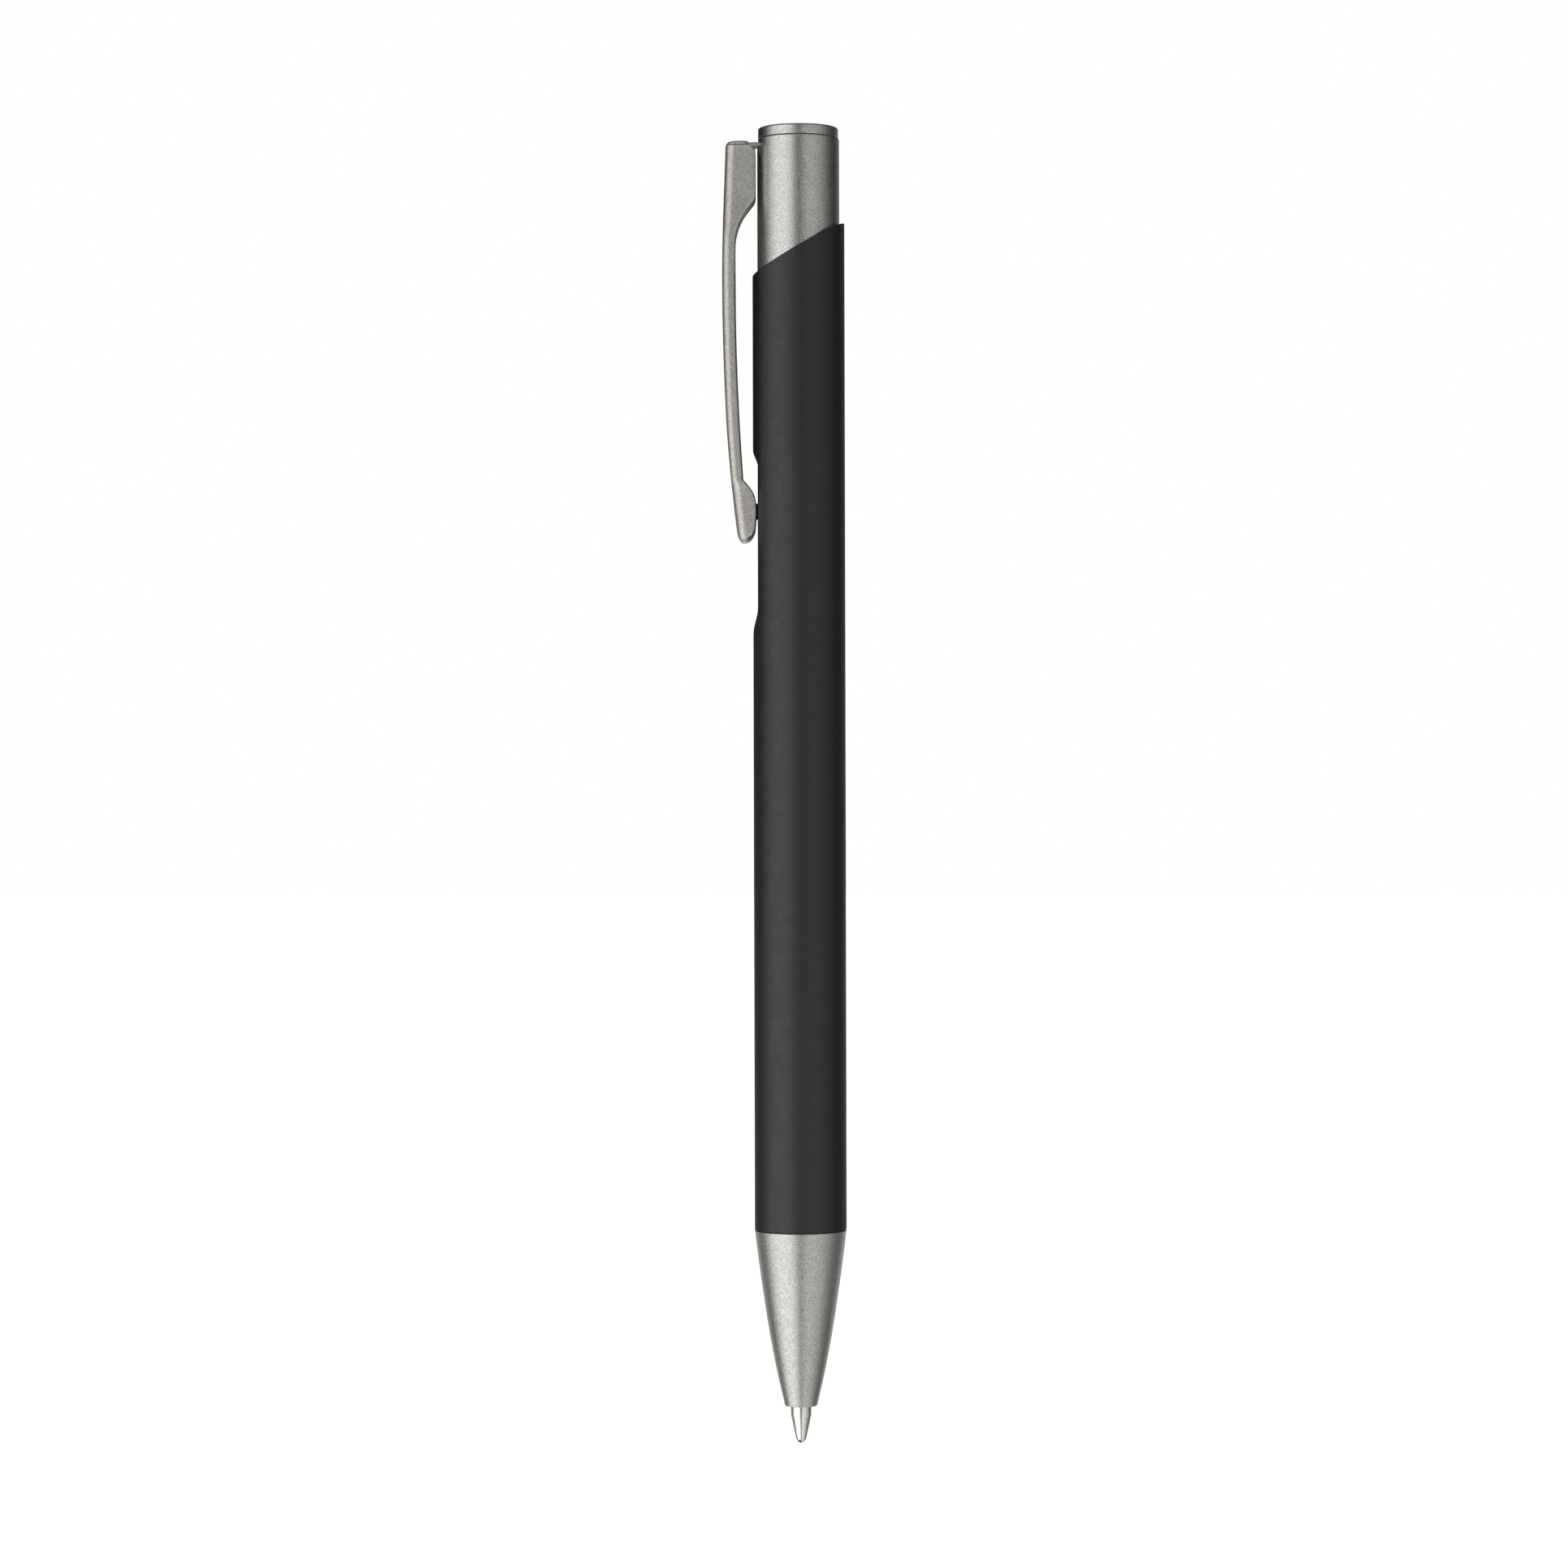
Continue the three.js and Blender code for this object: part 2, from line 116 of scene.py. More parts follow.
POINT_FOOT, POINT_HEAD = span("writing_point")
POINT_R = radius_of("writing_point")
BALL_R = radius_of("writing_ball")
HOLDER_FOOT, HOLDER_HEAD = span("tip_holder")
COLLAR_R = radius_of("tip_holder")
COLLAR = (25.0, 26.3)
REFILL_FOOT, REFILL_HEAD = span("refill_tube")
REFILL_R = radius_of("refill_tube")
SPRING_WIRE_R = 0.17
SPRING_R = 1.62

CLIP_HALF = radius_of("clip")
CLIP_SHEET = 0.45
CLIP_BEND = 1.0
CLIP_DRAFT = math.tan(math.radians(3.0))  # lean of the flanges
CLIP_TAB_TOP = span("clip")[1]
LID_TOP = CLIP_TAB_TOP - 0.1
LID_FOOT = LID_TOP - 0.42
CLIP_BALL_FOOT = 98.8
CLIP_BALL_DROP = 1.18
CLIP_BALL_HEAD = 104.4
NUB_MIDDLE = 101.05
STEM_HEAD = 129.2
SHOULDER_HEAD = 134.6
FLANGE_HEAD = 140.55
FLANGE_FACE = 4.62
FLANGE_CORNER = 0.72
NECK_HALF = 0.9

ROUND = 160  # steps round a turned casing
SUPPORT = 0.03  # distance of the extra points beside a fillet


# ---- mesh tools ---------------------------------------------------------------------------------------


def mesh_object(name, points, faces):
    """An object from points in millimetres and heights, shaded smooth except on faces with many corners,
    which are flat ends."""
    points = np.asarray(points, float) * MM + (0, 0, TIP)
    mesh = bpy.data.meshes.new(name)
    mesh.from_pydata(points.tolist(), [], faces)
    bm = bmesh.new()
    bm.from_mesh(mesh)
    bmesh.ops.remove_doubles(bm, verts=bm.verts, dist=1e-7)
    bmesh.ops.recalc_face_normals(bm, faces=bm.faces)
    for face in bm.faces:
        face.smooth = len(face.verts) <= 4
    bm.to_mesh(mesh)
    bm.free()
    piece = bpy.data.objects.new(name, mesh)
    scene.collection.objects.link(piece)
    return piece


def skin(name, rings, loop):
    """Quads between rings of points. With loop the last ring meets the first; else the ends are closed."""
    points, faces, starts = [], [], []
    for ring in rings:
        starts.append(len(points))
        points.extend(ring)
    count = len(rings)
    for i in range(count if loop else count - 1):
        low, high = rings[i], rings[(i + 1) % count]
        a, b = starts[i], starts[(i + 1) % count]
        around = max(len(low), len(high))
        for j in range(around):
            k = (j + 1) % around
            if len(low) == 1:
                faces.append((a, b + k, b + j))
            elif len(high) == 1:
                faces.append((a + j, a + k, b))
            else:
                faces.append((a + j, a + k, b + k, b + j))
    if not loop:
        for start, ring in ((starts[0], rings[0]), (starts[-1], rings[-1])):
            if len(ring) > 1:
                faces.append(tuple(range(start, start + len(ring))))
    return mesh_object(name, points, faces)


def rounded(corners, steps=4, support=SUPPORT):
    """The outline through corners [x, h, fillet radius], each fillet an arc with a point just before and
    after it, so that flat faces beside it stay flat when shaded smooth. A radius of 0 keeps the corner."""
    out = []
    for i, (x, h, radius) in enumerate(corners):
        here = np.array((x, h), float)
        if radius == 0:
            out.append(here)
            continue
        before = np.array(corners[i - 1][:2], float) - here
        after = np.array(corners[(i + 1) % len(corners)][:2], float) - here
        before /= np.linalg.norm(before)
        after /= np.linalg.norm(after)
        half = math.acos(max(-1.0, min(1.0, float(before @ after)))) / 2
        reach = radius / math.tan(half)
        middle = (before + after) / np.linalg.norm(before + after)
        centre = here + middle * radius / math.sin(half)
        start, end = here + before * reach - centre, here + after * reach - centre
        first = math.atan2(start[1], start[0])
        turn = (math.atan2(end[1], end[0]) - first + math.pi) % (2 * math.pi) - math.pi
        out.append(here + before * (reach + support))
        for k in range(steps + 1):
            angle = first + turn * k / steps
            out.append(centre + radius * np.array((math.cos(angle), math.sin(angle))))
        out.append(here + after * (reach + support))
    return out


def full_turn(steps):
    return [2 * math.pi * k / steps for k in range(steps)]


def circle(radius, height, steps):
    """A level ring of points, or one point where the radius is 0."""
    if radius < 1e-6:
        return [(0.0, 0.0, height)]
    return [(radius * math.cos(a), radius * math.sin(a), height) for a in full_turn(steps)]


def turned(name, corners, steps=ROUND, arcs=4):
    """A lathe-turned piece from its corners [radius, height, fillet radius], anticlockwise."""
    outline = rounded(corners, arcs)
    on_axis = corners[0][0] == 0
    return skin(name, [circle(r, h, steps) for r, h in outline], loop=not on_axis)


def curve_through(points):
    """A smooth function x(h) through [h, x] points: a cubic with slopes from the neighbouring points."""
    hs = np.array([p[0] for p in points], float)
    xs = np.array([p[1] for p in points], float)
    slopes = np.gradient(xs, hs)

    def value(h):
        i = int(np.clip(np.searchsorted(hs, h) - 1, 0, len(hs) - 2))
        gap = hs[i + 1] - hs[i]
        t = (h - hs[i]) / gap
        # Hermite weights of the two ends' values and slopes
        return (
            (1 + 2 * t) * (1 - t) ** 2 * xs[i]
            + t * (1 - t) ** 2 * gap * slopes[i]
            + t * t * (3 - 2 * t) * xs[i + 1]
            + t * t * (t - 1) * gap * slopes[i + 1]
        )

    return value


def ease(t):
    """0 to 1 with a level start and end."""
    t = min(1.0, max(0.0, t))
    return t * t * (3 - 2 * t)


def combine(piece, other, how):
    """Boolean of two closed pieces; the second one is used up."""
    modifier = piece.modifiers.new("boolean", "BOOLEAN")
    modifier.operation = how
    modifier.solver = "EXACT"
    modifier.object = other
    bpy.context.view_layer.update()
    made = bpy.data.meshes.new_from_object(
        piece.evaluated_get(bpy.context.evaluated_depsgraph_get())
    )
    piece.modifiers.clear()
    piece.data = made
    bpy.data.objects.remove(other)
    return piece


def box_piece(x, y, h):
    """A plain block to cut with, between two values on each axis."""
    corners = [(i, j, k) for k in h for j in y for i in x]
    faces = [(0, 1, 3, 2), (4, 5, 7, 6), (0, 1, 5, 4), (2, 3, 7, 6), (0, 2, 6, 4), (1, 3, 7, 5)]
    return mesh_object("cutter", corners, faces)


def place(piece, body, slot, material, *nodes):
    """Gives a finished piece its material and its body, and hides the CAD nodes that it stands for; slot
    is not used.
    """
    piece.data.materials.clear()
    piece.data.materials.append(material)
    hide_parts(*nodes)
    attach(piece, body)
    return piece


# ---- materials ----------------------------------------------------------------------------------------


NOISE_SPAN = (0.3, 0.7)  # nearly all of a noise texture's values


class Nodes:
    """Short calls that add nodes to a node tree. A source is the output of another node, or a value."""

    def __init__(self, tree):
        self.tree = tree

    def node(self, kind, sources=(), **settings):
        made = self.tree.nodes.new(kind)
        for key, value in settings.items():
            setattr(made, key, value)
        for socket, source in dict(sources).items():
            if isinstance(source, bpy.types.NodeSocket):
                self.tree.links.new(source, made.inputs[socket])
            else:
                made.inputs[socket].default_value = source
        return made

    def maths(self, operation, *sources):
        made = self.node("ShaderNodeMath", enumerate(sources), operation=operation)
        return made.outputs["Value"]

    def remap(self, value, low, high, to_low=0.0, to_high=1.0):
        sources = {
            "Value": value,
            "From Min": low,
            "From Max": high,
            "To Min": to_low,
            "To Max": to_high,
        }
        return self.node("ShaderNodeMapRange", sources).outputs["Result"]

    def mix(self, share, first, second):
        """One colour mixed into another. The node has its colour sockets after those of other types."""
        made = self.node("ShaderNodeMix", {0: share, 6: first, 7: second}, data_type="RGBA")
        return made.outputs[2]


class Paint(Nodes):
    """A Principled material whose nodes vary it over the surface."""

    def __init__(self, name, **sockets):
        self.material = bpy.data.materials.new(name)
        self.material.use_nodes = True
        super().__init__(self.material.node_tree)
        self.shader = self.tree.nodes["Principled BSDF"]
        for socket, value in sockets.items():
            self.shader.inputs[socket.replace("_", " ")].default_value = value
        self.place = self.node("ShaderNodeTexCoord").outputs["Object"]

    def noise(self, size_mm, detail=3.0, vector=None):
        sources = {"Vector": vector or self.place, "Scale": 1 / (size_mm * MM), "Detail": detail}
        return self.node("ShaderNodeTexNoise", sources).outputs["Fac"]

    def patches(self, size_mm, detail=3.0):
        """Noise spread over the whole of 0 to 1."""
        return self.remap(self.noise(size_mm, detail), *NOISE_SPAN)

    def cells(self, size_mm):
        return self.node("ShaderNodeTexVoronoi", {"Vector": self.place, "Scale": 1 / (size_mm * MM)})

    def channel(self, colour, name):
        return self.node("ShaderNodeSeparateColor", {"Color": colour}).outputs[name]

    def vector(self, operation, sources):
        made = self.node("ShaderNodeVectorMath", sources, operation=operation)
        return made.outputs["Vector"]

    def bump(self, height, depth_mm, **sources):
        sources = {"Height": height, "Distance": depth_mm * MM, "Strength": 1.0, **sources}
        return self.node("ShaderNodeBump", sources).outputs["Normal"]

    def set(self, socket, source):
        self.tree.links.new(source, self.shader.inputs[socket])

    def set_roughness(self, noise, low, high):
        """Roughness that follows a noise between two values."""
        self.set("Roughness", self.remap(noise, *NOISE_SPAN, low, high))


def opaque(colour, share=1.0):
    return (*(c * share for c in colour), 1.0)


def grey(value, tint=(1.0, 1.0, 1.0)):
    return opaque(tint, value)


def silver_lacquer(name, gloss, tint):
    """Gunmetal lacquer: each small flake leans its own way and has its own brightness."""
    paint = Paint(name, Metallic=0.97, Specular_IOR_Level=0.4)
    flake = paint.cells(0.09).outputs["Color"]
    flakes = paint.mix(paint.channel(flake, "Red"), grey(0.34, tint), grey(0.84, tint))
    cloud = paint.mix(paint.patches(0.2, 2.0), grey(0.48, tint), grey(0.68, tint))
    paint.set("Base Color", paint.mix(0.4, flakes, cloud))
    paint.set_roughness(paint.noise(0.2), gloss - 0.04, gloss + 0.04)
    normal = paint.node("ShaderNodeNewGeometry").outputs["Normal"]
    centred = paint.vector("SUBTRACT", {0: flake, 1: (0.5, 0.5, 0.5)})
    lean = paint.vector("SCALE", {0: centred, "Scale": 0.05})
    facing = paint.vector("NORMALIZE", {0: paint.vector("ADD", {0: normal, 1: lean})})
    paint.set("Normal", paint.bump(paint.noise(0.09, 2.0), 0.0015, Normal=facing))
    return paint.material


def soft_touch(name):
    """Matt soft-touch black with a velvety fine grain and a few dust specks."""
    paint = Paint(name, Specular_IOR_Level=0.84)
    patch = paint.remap(paint.noise(6.0), 0.35, 0.65)
    body = paint.mix(patch, (0.0034, 0.0033, 0.0066, 1.0), (0.0048, 0.0047, 0.0084, 1.0))
    dust = paint.cells(1.9)
    near = paint.remap(dust.outputs["Distance"], 0.012, 0.03, 1.0, 0.0)
    chosen = paint.maths("GREATER_THAN", paint.channel(dust.outputs["Color"], "Green"), 0.9)
    paint.set("Base Color", paint.mix(paint.maths("MULTIPLY", near, chosen), body, grey(0.2)))
    paint.set_roughness(paint.noise(1.2), 0.44, 0.52)
    paint.set("Normal", paint.bump(paint.noise(0.09), 0.0035))
    return paint.material


def turned_metal(name, colour, roughness):
    """Bare metal with the fine rings that a lathe tool leaves."""
    paint = Paint(name, Metallic=1.0)
    mapping = {"Vector": paint.place, "Scale": (0.02, 0.02, 1.0)}
    along = paint.node("ShaderNodeMapping", mapping).outputs["Vector"]
    rings = paint.noise(0.05, 2.0, along)
    paint.set("Base Color", paint.mix(paint.patches(0.8), opaque(colour), opaque(colour, 0.86)))
    paint.set_roughness(rings, roughness * 0.8, roughness * 1.25)
    paint.set("Normal", paint.bump(rings, 0.0015))
    return paint.material


def ball_ink_and_painted_reflection(name):
    """A bright ball with a film of ink on its left part; that dark film is also a painted dark reflection
    on that side.
    """
    paint = Paint(name, Roughness=0.1)
    across = paint.node("ShaderNodeSeparateXYZ", {"Vector": paint.place}).outputs["X"]
    ragged = paint.remap(paint.noise(0.3, 2.0), *NOISE_SPAN, -0.06 * MM, 0.06 * MM)
    # ink: the dark film on the ball's left part (x below about 0.04 mm), ink and a painted dark reflection
    ink = paint.remap(paint.maths("ADD", across, ragged), 0.04 * MM, 0.07 * MM, 1.0, 0.0)
    paint.set("Base Color", paint.mix(ink, (0.8, 0.79, 0.76, 1.0), (0.004, 0.004, 0.008, 1.0)))
    paint.set("Metallic", paint.remap(ink, 0.0, 1.0, 1.0, 0.0))
    paint.set("Normal", paint.bump(paint.noise(0.15, 2.0), 0.001))
    return paint.material


def drawn_wire(name):
    """Spring steel with fine drawing marks."""
    paint = Paint(name, Metallic=1.0)
    lines = paint.noise(0.06)
    paint.set("Base Color", paint.mix(lines, grey(0.42), grey(0.68)))
    paint.set_roughness(lines, 0.22, 0.36)
    paint.set("Normal", paint.bump(lines, 0.002))
    return paint.material


def moulded(name, colour, roughness, clear=0.0):
    """Moulded plastic with a faint spark-eroded grain; clear is how far light goes through it."""
    paint = Paint(name, Transmission_Weight=clear, Subsurface_Weight=0.1, Subsurface_Scale=0.0006)
    paint.set("Base Color", paint.mix(paint.patches(1.5), opaque(colour), opaque(colour, 0.9)))
    paint.set_roughness(paint.noise(0.2), roughness * 0.9, roughness * 1.1)
    paint.set("Normal", paint.bump(paint.noise(0.1, 2.0), 0.002))
    return paint.material


SILVER = silver_lacquer("silver_lacquer", 0.34, (1.0, 1.008, 0.96))
CLIP_SILVER = silver_lacquer("silver_lacquer_on_steel", 0.46, (1.05, 1.025, 0.965))
BLACK = soft_touch("soft_touch_black")
NICKEL = turned_metal("nickel_silver", (0.945, 0.95, 0.885), 0.11)
# the ball: bright metal with a dark film on its left part, partly ink and partly a painted dark reflection
CARBIDE = ball_ink_and_painted_reflection("ball_ink_and_painted_reflection")
BRASS = turned_metal("brass", (0.72, 0.55, 0.24), 0.24)
WIRE = drawn_wire("spring_wire")
WHITE_PLASTIC = moulded("white_acetal", (0.78, 0.77, 0.73), 0.42)
BLACK_PLASTIC = moulded("black_plastic", (0.02, 0.02, 0.021), 0.45)
BLUE_PLASTIC = moulded("blue_acetal", (0.03, 0.12, 0.36), 0.4)
CLEAR_PLASTIC = moulded("clear_polypropylene", (0.82, 0.84, 0.84), 0.22, 0.6)
INK = moulded("ink", (0.008, 0.012, 0.06), 0.15)


# ---- barrel -------------------------------------------------------------------------------------------


def recess_floor(h):
    """x of the recess's floor at a height; where there is no recess it is outside the barrel."""
    rise = ease((h - RECESS_FOOT[0]) / (RECESS_FOOT[1] - RECESS_FOOT[0]))
    fall = ease((h - RECESS_HEAD[0]) / (RECESS_HEAD[1] - RECESS_HEAD[0]))
    outside = -BARREL_R - 0.04
    return outside + (RECESS_FLOOR - outside) * rise * (1 - fall)


def soft_max(a, b, blend):
    """The larger of two values, with a fillet where they are nearly equal."""
    near = max(blend - abs(a - b), 0.0)
    return max(a, b) + near * near / (4 * blend)


def mouth_height(x):
    """Height of the barrel's slanted mouth."""
    return MOUTH_LOW + (x + BARREL_R) / (2 * BARREL_R) * (MOUTH_HIGH - MOUTH_LOW)


def wall_point(radius, angle, h, inwards):
    """A point of the wall, moved in where the recess is; inwards is the wall there on the bore's side."""
    x = soft_max(radius * math.cos(angle), recess_floor(h) + inwards, 0.12)
    return (x, radius * math.sin(angle), h)


def make_barrel():
    edge = 0.1
    lip = BARREL_R - edge
    steps = [k / 4 * math.pi / 2 for k in range(5)]
    heights = [BARREL_FOOT + edge + SUPPORT, 40, 60, 80, 87]
    heights += [*np.arange(RECESS_FOOT[0], RECESS_FOOT[1] + 0.01, 0.155), 92, 98, 104]
    heights += [*np.arange(RECESS_HEAD[0] - 0.2, RECESS_HEAD[1] + 0.3, 0.1), ROUND_ABOVE]

    def above(radius, angle):
        """Heights from the last row that is level up to the support line of the slanted mouth."""
        top = mouth_height(radius * math.cos(angle)) - edge - SUPPORT
        return [ROUND_ABOVE + (top - ROUND_ABOVE) * share for share in (0.3, 0.7, 1.0)]

    def strip(angle):
        """One upright strip of the wall: up the outside, over the mouth, down the bore, round the foot."""
        outside = [*heights, *above(BARREL_R, angle)]
        inside = [BARREL_FOOT, *heights[1:], *above(BARREL_BORE_R, angle)]
        points = [wall_point(BARREL_R, angle, h, 0) for h in outside]
        for a in steps:
            r = lip + edge * math.cos(a)
            h = mouth_height(r * math.cos(angle)) - edge * (1 - math.sin(a))
            points.append(wall_point(r, angle, h, 0))
        for a in steps:
            r = BARREL_BORE_R + edge * (1 - math.sin(a))
            h = mouth_height(r * math.cos(angle)) - edge * (1 - math.cos(a))
            points.append(wall_point(r, angle, h, RECESS_WALL))
        points += [wall_point(BARREL_BORE_R, angle, h, RECESS_WALL) for h in reversed(inside)]
        for a in steps:
            h = BARREL_FOOT + edge * (1 - math.cos(a))
            points.append(wall_point(lip + edge * math.sin(a), angle, h, 0))
        return points

    strips = [strip(a) for a in np.linspace(0, 2 * math.pi, 288, endpoint=False)]
    return skin("barrel_shell", [list(ring) for ring in zip(*strips)], loop=True)


def threaded(name, below, above, radius, foot, head, steps=72):
    """A turned piece with an outside screw thread between foot and head, as one skin; below and above
    are the [radius, height] corners before and after the thread."""
    rows = int((head - foot) / THREAD_PITCH * 12)
    rings = [circle(r, h, steps) for r, h in below]
    for i in range(rows + 1):
        h = foot + (head - foot) * i / rows
        runout = ease((h - foot) / 0.5) * ease((head - h) / 0.5)
        ring = []
        for k in range(steps):
            phase = (h / THREAD_PITCH - k / steps) % 1.0
            tooth = min(1.0, max(0.0, 1.6 * (1 - abs(2 * phase - 1)) - 0.3))
            r = radius - THREAD_DEPTH * (1 - tooth * runout)
            a = 2 * math.pi * k / steps
            ring.append((r * math.cos(a), r * math.sin(a), h))
        rings.append(ring)
    rings += [circle(r, h, steps) for r, h in above]
    return skin(name, rings, loop=True)


def make_thread_bush():
    bore, chamfer = 2.4, 0.2
    wide = BARREL_BORE_R - 0.05
    shoulder = BARREL_FOOT + 0.05
    below = [
        (bore, THREAD_FOOT + chamfer),
        (bore + chamfer, THREAD_FOOT),
        (THREAD_R - 0.45, THREAD_FOOT),
    ]
    above = [
        (THREAD_R, shoulder),
        (wide - 0.05, shoulder),
        (wide, shoulder + 0.05),
        (wide, BUSH_HEAD - 0.3),
        (wide - 0.3, BUSH_HEAD),
        (bore + chamfer, BUSH_HEAD),
        (bore, BUSH_HEAD - chamfer),
    ]
    foot, head = THREAD_FOOT + 0.15, shoulder - 0.6
    return threaded("thread_bush_turned", below, above, THREAD_R, foot, head)


# ---- nose cone ----------------------------------------------------------------------------------------


def make_nose_cone():
    mouth_bore, spring_bore, thread_bore = 1.2, 1.95, THREAD_R + 0.1
    flank_foot = 4.6
    side = curve_through(
        [
            (CONE_TIP + 0.2, 1.80),
            (6.81, 2.405),
            (11.2, 3.275),
            (16.5, 4.115),
            (21.8, 4.83),
            (CONE_HEAD, CONE_R),
        ]
    )
    foot = rounded(
        [
            (mouth_bore, SPRING_SEAT, 0),
            (mouth_bore, CONE_TIP, 0.08),
            (1.78, CONE_TIP, 0.16),
            (side(flank_foot), flank_foot, 0),
        ],
        5,
    )
    flank = [(side(h), h) for h in np.linspace(flank_foot + 0.1, CONE_HEAD - 0.25, 30)]
    head = rounded(
        [(CONE_R - 0.02, CONE_HEAD - 0.4, 0), (CONE_R, CONE_HEAD, 0.07), (3.9, CONE_HEAD, 0)]
    )
    inside = [
        (thread_bore + 0.15, CONE_HEAD),
        (thread_bore, CONE_HEAD - 0.15),
        (thread_bore, THREAD_FOOT - 0.3),
        (2.6, THREAD_FOOT - 0.3),
        (spring_bore, 10),
        (spring_bore, SPRING_SEAT),
        (mouth_bore, SPRING_SEAT),
    ]
    outline = [*foot[1:-1], *flank, *head[1:-1], *inside]
    return skin("nose_cone_shell", [circle(r, h, ROUND) for r, h in outline], loop=True)


# ---- push button --------------------------------------------------------------------------------------


def make_tube():
    tube = turned(
        "plunger_tube_shell",
        [
            (TUBE_BORE_R, TUBE_FOOT, 0.08),
            (TUBE_R, TUBE_FOOT, 0.12),
            (TUBE_R, TUBE_HEAD, 0.07),
            (TUBE_BORE_R, TUBE_HEAD, 0.07),
        ],
    )
    half = NECK_HALF + 0.1
    slot = box_piece((-TUBE_R - 1, -1), (-half, half), (CLIP_TAB_TOP - 0.7, TUBE_HEAD + 1))
    return combine(tube, slot, "DIFFERENCE")


def make_cap():
    """The disc stands on a neck a little smaller than itself, which leaves the dark seam over the tube."""
    stud, neck = 1.2, CAP_R - 0.3
    seat = TUBE_HEAD + 0.02
    disc_foot = TUBE_HEAD + 0.085
    return turned(
        "plunger_cap_disc",
        [
            (0, CAP_FOOT, 0),
            (stud, CAP_FOOT, 0.1),
            (stud, seat, 0),
            (neck, seat, 0),
            (neck, disc_foot, 0),
            (CAP_R, disc_foot, 0.05),
            (CAP_R, CAP_HEAD, 0.2),
            (0, CAP_HEAD, 0),
        ],
        arcs=6,
    )


# ---- clip ---------------------------------------------------------------------------------------------

# Distances from the pen's axis by height: of the clip's back, and of its inner edge from the ball upwards.
clip_back = curve_through(
    [(97.3, 6.52), (99.0, 6.74), (107.3, 7.61), (117.9, 8.14), (128.0, 8.25), (140.3, 7.88), (141.2, 7.85)]
)
clip_ball = curve_through(
    [
        (97.4, 5.25),
        (98.1, 4.98),
        (98.8, 4.77),
        (100.2, 4.62),
        (101.1, 4.59),
        (102.0, 4.66),
        (103.0, 4.96),
        (103.55, 5.3),
        (CLIP_BALL_HEAD, 6.03),
    ]
)
clip_stem = curve_through(
    [(CLIP_BALL_HEAD, 6.03), (109.5, 6.35), (115.1, 6.62), (120.7, 6.78), (STEM_HEAD, 6.84)]
)
clip_shoulder = curve_through(
    [(STEM_HEAD, 6.84), (130.8, 6.76), (132.0, 6.44), (133.0, 5.97), (SHOULDER_HEAD, 4.78)]
)


def clip_rim(h):
    """Distance of the clip's inner edge from the pen's axis."""
    if h < CLIP_BALL_HEAD:
        return clip_ball(h)
    if h < STEM_HEAD:
        return clip_stem(h)
    if h < SHOULDER_HEAD:
        return clip_shoulder(h)
    over = h - (FLANGE_HEAD - FLANGE_CORNER)
    if over > 0:
        return FLANGE_FACE + FLANGE_CORNER - math.sqrt(max(FLANGE_CORNER**2 - over**2, 0))
    return FLANGE_FACE + 0.16 * (1 - ease((h - SHOULDER_HEAD) / 0.5))


def ball_share(h):
    """How much of the ball's section is left at a height: less than 1 only in its rounded end."""
    drop = min(1.0, max(0.0, (CLIP_BALL_FOOT - h) / CLIP_BALL_DROP))
    return (1 - drop * drop) ** 0.4


def ball_half(h):
    """Half of the ball's width at a height."""
    return CLIP_HALF * ball_share(h) ** 0.35


def clip_section(h, back, rim, half, open_share):
    """A level cut through the clip: a U whose mouth faces the barrel, which closes as open_share falls to
    0. The pressed flanges lean apart a little towards the mouth. Every cut has the same point count."""
    deep = back - rim
    lean = CLIP_DRAFT * deep
    edge = min(0.3 if h > CLIP_BALL_HEAD else 0.2, deep * 0.3, half * 0.4)
    bend = min(CLIP_BEND, half * 0.6, deep * 0.55)
    outside = rounded(
        [
            (-rim, -half, edge),
            (-back, lean - half, bend),
            (-back, half - lean, bend),
            (-rim, half, edge),
        ],
        8,
        0.02,
    )
    count = 24
    start, end = outside[-1], outside[0]
    face = [start + (end - start) * (k + 1) / (count + 1) for k in range(count)]
    if open_share > 0:
        floor, wall = back - CLIP_SHEET, half - CLIP_SHEET
        channel = rounded(
            [
                (-rim, wall, 0.1),
                (-floor, wall - lean, 0.25),
                (-floor, lean - wall, 0.25),
                (-rim, -wall, 0.1),
            ],
            3,
            0.02,
        )
        face = [a + (b - a) * open_share for a, b in zip(face, channel)]
    return [(x, y, h) for x, y in [*outside, *face]]


